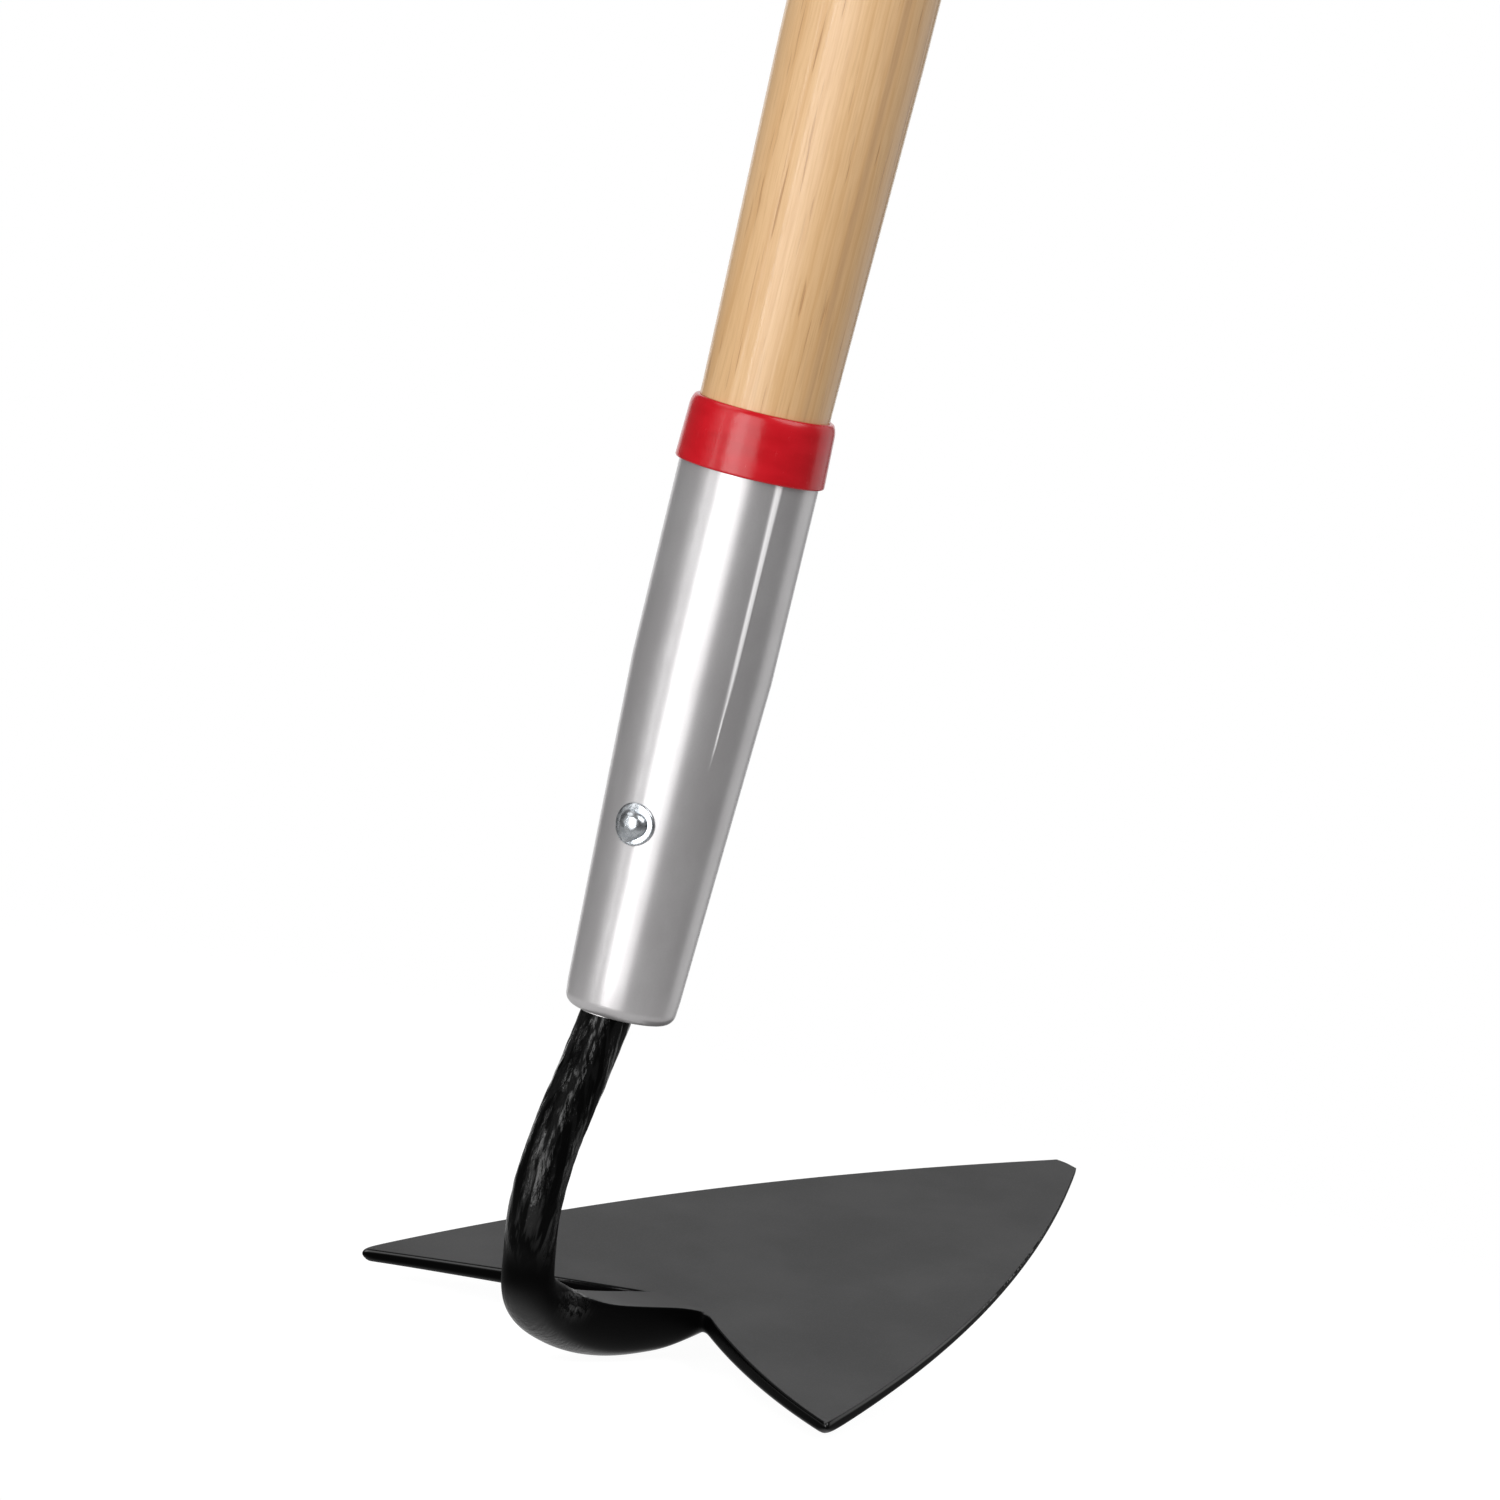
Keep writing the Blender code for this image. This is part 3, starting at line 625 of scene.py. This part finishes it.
def build_collar(mat):
    """Plastic ring: skirt over the ferrule, shoulder, and a lip against the wood."""
    skirt = FERRULE_RADIUS + HAIR
    lip = HANDLE_NECK_RADIUS + HAIR
    step = FERRULE_LENGTH + HAIR
    ease = COLLAR_EDGE_ROUND
    shoulder = (lip + COLLAR_LIP, COLLAR_TOP - COLLAR_SHOULDER)
    reach = COLLAR_RADIUS - COLLAR_DRAFT - shoulder[0]
    turns = [pi / 2 * i / 14 for i in range(15)]
    profile = [(skirt, COLLAR_BOTTOM)]
    profile += arc((COLLAR_RADIUS - ease, COLLAR_BOTTOM + ease), ease, -pi / 2, 0, 6)
    profile += [(shoulder[0] + reach * cos(a), shoulder[1] + COLLAR_SHOULDER * sin(a))
                for a in turns]
    profile += [(lip, COLLAR_TOP), (lip, step), (skirt, step)]
    piece = new_piece("collar_ring", turned(profile, True), mat, ["ferrule_collar"])
    shade(piece.data)
    return piece


# Rivet

def rivet_matrix():
    """Local Z along the rivet, towards its peened end; local Y up the handle."""
    towards = Vector((cos(RIVET_TURN), sin(RIVET_TURN), 0))
    aside = Vector((-sin(RIVET_TURN), cos(RIVET_TURN), 0))
    turn = Matrix((aside, (0, 0, 1), towards)).transposed().to_4x4()
    if turn.determinant() < 0:
        turn = Matrix((-aside, (0, 0, 1), towards)).transposed().to_4x4()
    return Matrix.Translation((0, 0, RIVET_HEIGHT)) @ turn


def on_ferrule(across, up):
    """Distance from the ferrule's axis plane to its surface, beside the rivet."""
    radius = ferrule_radius(RIVET_HEIGHT + up)
    return sqrt(radius ** 2 - across ** 2)


def pressed_ring(bm, radius, lift, turns, side=1, squash=lambda turn: 1.0):
    """A ring round the rivet that follows the ferrule's curve at a height above it."""
    ring = []
    for a in turns:
        across, up = radius * squash(a) * cos(a), radius * squash(a) * sin(a)
        ring.append(bm.verts.new((across, up, side * (on_ferrule(across, up) + lift))))
    return ring


def build_burr(mat):
    """Washer under the peened end, bent to the ferrule, with a rolled outer edge."""
    bm = bmesh.new()
    turns = even_turns(64)
    ease = BURR_EDGE_ROUND
    top = BURR_THICKNESS
    section = [(RIVET_RADIUS + HAIR, HAIR), (BURR_RADIUS - 0.1 * MM, HAIR)]
    section += arc((BURR_RADIUS - ease, top - ease), ease, 0, pi / 2, 6)
    section += [(BURR_RADIUS - 1.0 * MM, top), (RIVET_RADIUS + HAIR, top)]
    rings = [pressed_ring(bm, radius, lift, turns) for radius, lift in section]
    for ring_a, ring_b in zip(rings, rings[1:] + rings[:1]):
        bridge(bm, ring_a, ring_b)
    bm.transform(rivet_matrix())
    piece = new_piece("burr", bm, mat, ["rivet_burr"])
    shade(piece.data)
    return piece


def peened(turn):
    """The hammered dome isn't quite round: it is drawn out to a lip at its foot."""
    lip = exp(-(((turn + pi / 2 + 0.25 + pi) % (2 * pi) - pi) / 0.42) ** 2)
    return 1 + 0.04 * cos(2 * turn + 0.6) + 0.03 * cos(3 * turn - 1.1) + 0.30 * lip


def build_rivet(mat):
    """Factory head, shank, and the peened dome over the burr."""
    bm = bmesh.new()
    turns = even_turns(64)
    seat = BURR_THICKNESS + HAIR
    rings = [pressed_ring(bm, RIVET_RADIUS, HAIR, turns, -1),
             pressed_ring(bm, RIVET_HEAD_RADIUS, HAIR, turns, -1)]
    for i in range(1, 10):
        a = pi / 2 * i / 10
        rings.append(pressed_ring(bm, RIVET_HEAD_RADIUS * cos(a), RIVET_HEAD_HEIGHT * sin(a),
                                  turns, -1))
    fan(bm, rings[-1], (0, 0, -on_ferrule(0, 0) - RIVET_HEAD_HEIGHT))
    for ring_a, ring_b in zip(rings, rings[1:]):
        bridge(bm, ring_a, ring_b)
    dome = [pressed_ring(bm, RIVET_RADIUS, seat, turns)]
    for i in range(0, 11):
        a = pi / 2 * i / 11
        drawn = cos(a) ** 0.8
        dome.append(pressed_ring(
            bm, RIVET_DOME_RADIUS * drawn, seat + RIVET_DOME_HEIGHT * sin(a), turns, 1,
            lambda turn, a=a: 1 + (peened(turn) - 1) * cos(a) ** 2))
    fan(bm, dome[-1], (0, 0, on_ferrule(0, 0) + seat + RIVET_DOME_HEIGHT))
    for ring_a, ring_b in zip(dome, dome[1:]):
        bridge(bm, ring_a, ring_b)
    bridge(bm, rings[0], dome[0])
    bm.transform(rivet_matrix())
    piece = new_piece("rivet_pin", bm, mat, ["rivet"])
    shade(piece.data)
    return piece


# Materials

class Nodes:
    """A material's node tree, with one short call for each kind of node."""

    def __init__(self, name):
        self.material = bpy.data.materials.new(name)
        self.material.use_nodes = True
        self.tree = self.material.node_tree
        self.shader = self.tree.nodes["Principled BSDF"]
        self.place = self.add("ShaderNodeTexCoord").outputs["Object"]

    def add(self, kind, **settings):
        node = self.tree.nodes.new(kind)
        for name, value in settings.items():
            setattr(node, name, value)
        return node

    def feed(self, socket, value):
        if isinstance(value, bpy.types.NodeSocket):
            self.tree.links.new(value, socket)
        else:
            socket.default_value = value

    def math(self, operation, *values):
        node = self.add("ShaderNodeMath", operation=operation)
        for socket, value in zip(node.inputs, values):
            self.feed(socket, value)
        return node.outputs[0]

    def vector(self, operation, *values):
        node = self.add("ShaderNodeVectorMath", operation=operation)
        for socket, value in zip(node.inputs, values):
            self.feed(socket, value)
        return node.outputs["Value" if operation in ("LENGTH", "DOT_PRODUCT") else "Vector"]

    def noise(self, per_metre, detail=2.0, roughness=0.5):
        """Noise from 0 to 1 with its own number of waves per metre along each axis."""
        node = self.add("ShaderNodeTexNoise")
        self.feed(node.inputs["Vector"], self.vector("MULTIPLY", self.place, per_metre))
        node.inputs["Scale"].default_value = 1.0
        node.inputs["Detail"].default_value = detail
        node.inputs["Roughness"].default_value = roughness
        return node.outputs[0]

    def span(self, value, low, high, to_low=0.0, to_high=1.0):
        """Smooth step of a value between two limits, onto another range."""
        node = self.add("ShaderNodeMapRange", interpolation_type="SMOOTHSTEP")
        for socket, number in zip(node.inputs, (value, low, high, to_low, to_high)):
            self.feed(socket, number)
        return node.outputs[0]

    def mix(self, share, first, second):
        """Blend of two colours."""
        node = self.add("ShaderNodeMix", data_type="RGBA")
        self.feed(node.inputs[0], share)
        self.feed(node.inputs[6], first)
        self.feed(node.inputs[7], second)
        return node.outputs[2]

    def bump(self, height, distance, under=None):
        node = self.add("ShaderNodeBump")
        node.inputs["Strength"].default_value = 1.0
        node.inputs["Distance"].default_value = distance
        self.feed(node.inputs["Height"], height)
        if under:
            self.feed(node.inputs["Normal"], under)
        return node.outputs[0]

    def finish(self, **inputs):
        """Set the shader's sockets; a name's underscores stand for spaces."""
        for name, value in inputs.items():
            socket = self.shader.inputs[name.replace("_", " ")]
            self.feed(socket, value)
        return self.material


def colour(red, green, blue):
    return (red, green, blue, 1.0)


def lacquered_ash():
    """Ash under clear lacquer: growth rings, long open pores, fibres and a mineral streak."""
    n = Nodes("lacquered_ash")
    split = n.add("ShaderNodeSeparateXYZ")
    n.feed(split.inputs[0], n.place)
    wander = n.noise((24, 24, 5.0), 3.0)
    flat = n.vector("MULTIPLY", n.place, (1, 1, 0))
    from_pith = n.vector("LENGTH", n.vector("SUBTRACT", flat, (0.031, -0.036, 0)))
    rings = n.math("ADD", n.math("DIVIDE", from_pith, 0.0031), n.math("MULTIPLY", wander, 2.6))
    phase = n.math("FRACT", rings)
    early = n.math("MAXIMUM", n.span(phase, 0.0, 0.42, 1, 0), n.span(phase, 0.90, 1.0))
    fibres = n.noise((2600, 2600, 95), 2.0, 0.6)
    pores = n.span(n.noise((1500, 1500, 60), 1.0), 0.60, 0.70)
    pores = n.math("MULTIPLY", pores, n.math("ADD", n.math("MULTIPLY", early, 0.8), 0.2))
    clouds = n.noise((40, 40, 9), 3.0)

    wood = n.mix(n.span(clouds, 0.3, 0.7), colour(0.70, 0.445, 0.225), colour(0.78, 0.515, 0.280))
    wood = n.mix(n.math("MULTIPLY", early, 0.32), wood, colour(0.57, 0.305, 0.115))
    wood = n.mix(n.span(fibres, 0.35, 0.75, 0, 0.30), wood, colour(0.54, 0.290, 0.110))
    wood = n.mix(n.math("MULTIPLY", pores, 0.55), wood, colour(0.36, 0.180, 0.080))
    side = n.math("ARCTAN2", split.outputs[1], split.outputs[0])
    wobble = n.math("MULTIPLY", n.noise((0, 0, 14), 2.0), 0.10)
    off_streak = n.math("ABSOLUTE", n.math("ADD", side, n.math("ADD", wobble, 1.88)))
    streak = n.math("MULTIPLY", n.span(off_streak, 0.02, 0.09, 1, 0),
                    n.span(n.noise((300, 300, 12), 2.0), 0.3, 0.6, 0.35, 0.9))
    wood = n.mix(n.math("MULTIPLY", streak, 0.45), wood, colour(0.40, 0.215, 0.105))

    rough = n.span(clouds, 0.3, 0.7, 0.42, 0.52)
    dents = n.math("ADD", n.math("MULTIPLY", pores, -1.0), n.math("MULTIPLY", fibres, 0.25))
    return n.finish(Base_Color=wood, Roughness=rough, Normal=n.bump(dents, 0.05 * MM),
                    Coat_Weight=0.6, Coat_Roughness=0.15, Coat_IOR=1.5,
                    Specular_IOR_Level=0.2)


def satin_steel():
    """Drawn steel: fine matt grain, faint lengthwise draw lines, and a painted highlight of
    near-white along the seam's bead.
    """
    n = Nodes("satin_steel")
    grain = n.noise((2600, 2600, 2200), 2.0, 0.6)
    lines = n.noise((1300, 1300, 16), 2.0)
    patches = n.noise((110, 110, 60), 3.0)
    seam_painted_highlight = n.add("ShaderNodeAttribute", attribute_name="seam_painted_highlight").outputs["Fac"]
    steel = n.mix(n.span(patches, 0.3, 0.7), colour(0.555, 0.540, 0.545),
                  colour(0.610, 0.598, 0.602))
    steel = n.mix(n.span(grain, 0.35, 0.75, 0, 0.14), steel, colour(0.46, 0.445, 0.45))
    # Painted highlight: the seam's bead is mixed towards near-white and loses its metal.
    steel = n.mix(n.math("MULTIPLY", seam_painted_highlight, 0.9), steel, colour(0.95, 0.94, 0.94))
    height = n.math("ADD", n.math("MULTIPLY", grain, 0.6), n.math("MULTIPLY", lines, 0.4))
    return n.finish(Base_Color=steel, Metallic=n.span(seam_painted_highlight, 0.0, 1.0, 0.62, 0.0),
                    Roughness=0.30, Normal=n.bump(height, 0.006 * MM))


def red_plastic():
    """Moulded plastic: faint orange peel, flow marks and a few dull scuffs."""
    n = Nodes("red_plastic")
    peel = n.noise((700, 700, 700), 2.0)
    flow = n.noise((90, 90, 260), 3.0)
    scuffs = n.span(n.noise((900, 900, 260), 3.0, 0.7), 0.60, 0.72)
    red = n.mix(n.span(flow, 0.3, 0.7), colour(0.50, 0.004, 0.010), colour(0.58, 0.006, 0.014))
    red = n.mix(n.math("MULTIPLY", scuffs, 0.07), red, colour(0.62, 0.055, 0.065))
    rough = n.math("ADD", n.span(flow, 0.3, 0.7, 0.20, 0.26), n.math("MULTIPLY", scuffs, 0.04))
    return n.finish(Base_Color=red, Roughness=rough, Normal=n.bump(peel, 0.03 * MM),
                    Specular_IOR_Level=0.5)


def black_enamel():
    """Black enamel: dull on faces that look up, with a painted sheen of grey mixed in there;
    glossy, wrinkled and streaked on the neck."""
    n = Nodes("black_enamel")
    dull_and_sheen = n.add("ShaderNodeAttribute", attribute_name="dull_and_sheen").outputs["Fac"]
    gloss = n.add("ShaderNodeAttribute", attribute_name="gloss").outputs["Fac"]
    powder = n.noise((2400, 2400, 2400), 2.0, 0.6)
    drift = n.noise((45, 45, 45), 3.0)
    split = n.add("ShaderNodeSeparateXYZ")
    n.feed(split.inputs[0], n.place)
    on_bar = n.span(split.outputs[0], *WRINKLES_END, 1, 0.04)
    wrinkles = n.math("MULTIPLY", n.noise((900, 900, 280), 3.0, 0.55), on_bar)
    off_neck = n.span(split.outputs[2], *STREAKS_END, 1, 0)
    streaks = n.span(n.noise((420, 420, 42), 3.0, 0.6), 0.46, 0.57, 0.05, 1.0)
    gloss = n.math("MULTIPLY", gloss, n.math("MAXIMUM", streaks, off_neck))
    sheen_tone = n.mix(n.span(drift, 0.3, 0.7), colour(0.108, 0.108, 0.109),
                 colour(0.125, 0.125, 0.126))
    sheen_tone = n.mix(n.span(powder, 0.4, 0.75, 0, 0.3), sheen_tone, colour(0.166, 0.166, 0.167))
    # Painted sheen: the grey tone is mixed over the black where faces look up.
    black_and_sheen = n.mix(dull_and_sheen, colour(0.0015, 0.0015, 0.0015), sheen_tone)
    rough = n.math("ADD", n.span(dull_and_sheen, 0, 1, 0.42, 0.60), n.span(powder, 0.3, 0.7, 0, 0.05))
    fine = n.bump(powder, 0.006 * MM)
    return n.finish(Base_Color=black_and_sheen, Roughness=rough, Specular_IOR_Level=0.02, Normal=fine,
                    Coat_Weight=gloss, Coat_Roughness=0.085, Coat_IOR=1.42,
                    Coat_Normal=n.bump(wrinkles, 0.30 * MM))


def bright_zinc():
    """Zinc plate: cool, bright and slightly mottled."""
    n = Nodes("bright_zinc")
    mottle = n.noise((900, 900, 900), 3.0, 0.6)
    dents = n.noise((600, 600, 600), 2.0)
    zinc = n.mix(n.span(mottle, 0.35, 0.7), colour(0.50, 0.53, 0.56), colour(0.70, 0.73, 0.76))
    return n.finish(Base_Color=zinc, Metallic=1.0, Roughness=n.span(mottle, 0.3, 0.7, 0.22, 0.31),
                    Normal=n.bump(dents, 0.10 * MM))


def mark_seam_highlight(mesh):
    """Attribute for the steel: 1 on the seam's bead, where the near-white painted highlight goes.
    """
    seam_painted_highlight = mesh.attributes.new("seam_painted_highlight", "FLOAT", "POINT")
    for vert in mesh.vertices:
        x, y, z = vert.co
        if hypot(x, y) > ferrule_radius(z) - FERRULE_WALL / 2:
            seam_painted_highlight.data[vert.index].value = seam_rise(atan2(y, x), z) / SEAM_HEIGHT


# Floor, light and camera

def view_axes():
    """Right, up and forward of the camera, with the tool's lean in the roll."""
    level = Vector((sin(CAMERA_BEARING), cos(CAMERA_BEARING), 0))
    aside = Vector((cos(CAMERA_BEARING), -sin(CAMERA_BEARING), 0))
    forward = level * cos(CAMERA_DIP) - Vector((0, 0, 1)) * sin(CAMERA_DIP)
    upright = level * sin(CAMERA_DIP) + Vector((0, 0, 1)) * cos(CAMERA_DIP)
    right = aside * cos(CAMERA_ROLL) + upright * sin(CAMERA_ROLL)
    up = upright * cos(CAMERA_ROLL) - aside * sin(CAMERA_ROLL)
    return right, up, forward


def add_camera():
    """A long lens aimed a little above and beside the ferrule's foot."""
    right, up, forward = view_axes()
    data = bpy.data.cameras.new("camera")
    data.lens = CAMERA_LENS
    data.sensor_width = CAMERA_SENSOR
    data.clip_start, data.clip_end = 0.05, 100
    camera = bpy.data.objects.new("camera", data)
    aim = FOOT + right * CAMERA_ASIDE + up * CAMERA_ABOVE
    axes = Matrix((right, up, -forward)).transposed()
    camera.matrix_world = Matrix.Translation(aim - forward * CAMERA_DISTANCE) @ axes.to_4x4()
    bpy.context.scene.collection.objects.link(camera)
    bpy.context.scene.camera = camera


def add_softbox(name, bearing, distance, width, radiance):
    """A tall area light; its bearing is in degrees to the right of the camera's side."""
    turn = CAMERA_BEARING + pi - radians(bearing)
    height = SOFTBOX_HIGH - SOFTBOX_LOW
    middle_z = FOOT.z + (SOFTBOX_LOW + SOFTBOX_HIGH) / 2
    light = bpy.data.lights.new(name, "AREA")
    light.shape = "RECTANGLE"
    light.size = width
    light.size_y = height
    light.energy = radiance * pi * width * height
    lamp = bpy.data.objects.new(name, light)
    lamp.location = (sin(turn) * distance, cos(turn) * distance, middle_z)
    lamp.rotation_euler = Vector((-sin(turn), -cos(turn), 0)).to_track_quat("-Z", "Y").to_euler()
    lamp.visible_camera = False
    bpy.context.scene.collection.objects.link(lamp)


def add_high_light(name, bearing, climb, distance, size, radiance):
    """A round area light above; bearing and climb are in degrees, from the camera's side."""
    turn = CAMERA_BEARING + pi - radians(bearing)
    level, high = cos(radians(climb)), sin(radians(climb))
    towards = Vector((sin(turn) * level, cos(turn) * level, high))
    light = bpy.data.lights.new(name, "AREA")
    light.shape = "DISK"
    light.size = size
    light.energy = radiance * pi * pi * (size / 2) ** 2
    lamp = bpy.data.objects.new(name, light)
    lamp.location = FOOT + towards * distance
    lamp.rotation_euler = (-towards).to_track_quat("-Z", "Y").to_euler()
    lamp.visible_camera = False
    bpy.context.scene.collection.objects.link(lamp)


def seen_or_lit(tree, seen, lit):
    """A strength with one value where the camera sees it and another as a light source."""
    path = tree.nodes.new("ShaderNodeLightPath")
    strength = tree.nodes.new("ShaderNodeMapRange")
    strength.inputs["To Min"].default_value = lit
    strength.inputs["To Max"].default_value = seen
    tree.links.new(path.outputs["Is Camera Ray"], strength.inputs["Value"])
    return strength.outputs[0]


def add_world(seen, lit):
    """A white backdrop for the camera; the light it gives is softer."""
    world = bpy.data.worlds.new("studio")
    world.use_nodes = True
    bpy.context.scene.world = world
    tree = world.node_tree
    background = tree.nodes["Background"]
    tree.links.new(seen_or_lit(tree, seen, lit), background.inputs["Strength"])
    background.inputs["Color"].default_value = (1, 1, 1, 1)


def add_floor():
    """A pale round floor that fades out into the white round it."""
    n = Nodes("pale_floor")
    out = n.vector("LENGTH", n.vector("MULTIPLY", n.place, (1, 1, 0)))
    grain = n.noise((60, 60, 60), 3.0)
    n.finish(Base_Color=n.mix(grain, colour(0.15, 0.15, 0.15), colour(0.16, 0.16, 0.16)),
             Roughness=0.9, Specular_IOR_Level=0.1, Alpha=n.span(out, *FLOOR_FADE, 1, 0),
             Emission_Color=colour(1, 1, 1),
             Emission_Strength=seen_or_lit(n.tree, FLOOR_SEEN, FLOOR_LIT))
    bm = bmesh.new()
    bmesh.ops.create_circle(bm, cap_ends=True, segments=96, radius=FLOOR_RADIUS)
    mesh = bpy.data.meshes.new("floor")
    bm.to_mesh(mesh)
    bm.free()
    mesh.materials.append(n.material)
    floor = bpy.data.objects.new("floor", mesh)
    floor.location = (FLOOR_X, 0, cad_low.z - FLOOR_GAP)
    bpy.context.scene.collection.objects.link(floor)


build_head(black_enamel())
build_handle(lacquered_ash())
ferrule = build_ferrule(satin_steel())
mark_seam_highlight(ferrule.data)
build_collar(red_plastic())
zinc = bright_zinc()
build_rivet(zinc)
build_burr(zinc)

add_floor()
add_world(WORLD_SEEN, WORLD_LIT)
for name, settings in SOFTBOXES.items():
    add_softbox(name, *settings)
for name, settings in HIGH_LIGHTS.items():
    add_high_light(name, *settings)
add_camera()
bpy.context.scene.view_settings.view_transform = "Standard"
